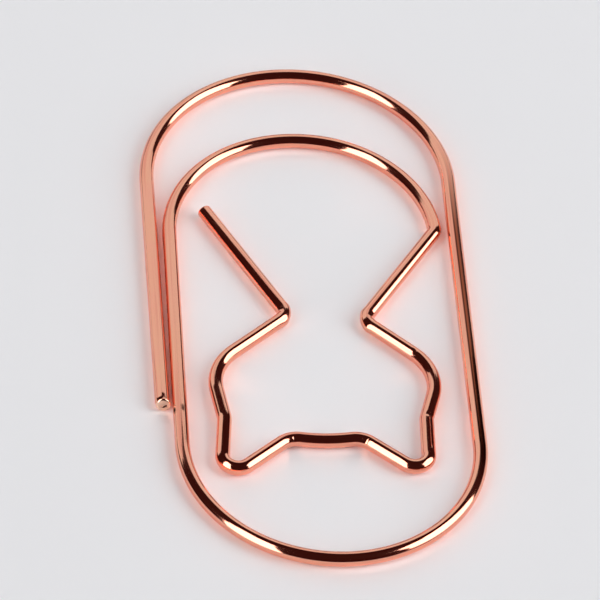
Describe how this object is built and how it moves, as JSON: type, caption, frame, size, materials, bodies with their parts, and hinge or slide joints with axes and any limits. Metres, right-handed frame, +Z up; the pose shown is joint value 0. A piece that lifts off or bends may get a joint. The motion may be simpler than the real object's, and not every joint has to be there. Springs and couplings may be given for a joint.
{
  "type": "paper clip",
  "caption": "Flat paper clip bent from one round wire, with an outer loop and a springy inner tongue that ends in the outline of a cat's head.",
  "frame": {"origin": "on the surface that the clip lies on, under the middle of its outline in plan", "axes": "+Y along the clip from the bottom bend to the top bends, +X across it towards the right leg, +Z up through the thickness of the wire"},
  "size_m": [0.0268, 0.0554, 0.0012],
  "materials": {
    "plated_wire": "bright rose-gold plating over drawn steel wire"
  },
  "bodies": {
    "outer_loop": {"free_leg": "plated_wire", "top_bend": "plated_wire", "right_leg": "plated_wire", "bottom_bend_right": "plated_wire"},
    "tongue": {"bottom_bend_left": "plated_wire", "inner_leg": "plated_wire", "inner_bend": "plated_wire", "tongue_corner": "plated_wire", "right_brace": "plated_wire", "right_chin": "plated_wire", "right_jaw": "plated_wire", "right_cheek": "plated_wire", "right_face_side": "plated_wire", "right_temple": "plated_wire", "right_ear_side": "plated_wire", "right_ear": "plated_wire", "right_brow": "plated_wire", "right_shoulder": "plated_wire", "crown": "plated_wire", "left_shoulder": "plated_wire", "left_brow": "plated_wire", "left_ear": "plated_wire", "left_ear_side": "plated_wire", "left_temple": "plated_wire", "left_face_side": "plated_wire", "left_cheek": "plated_wire", "left_jaw": "plated_wire", "left_chin": "plated_wire", "left_brace": "plated_wire"}
  },
  "joints": [
    {"name": "tongue_lift", "type": "hinge", "parent": "outer_loop", "child": "tongue", "pos_m": [0.00082, -0.0271, 0.0006], "axis": [1, 0, 0], "range_deg": [0, 12], "stiffness_Nm_per_rad": 0.3}
  ]
}
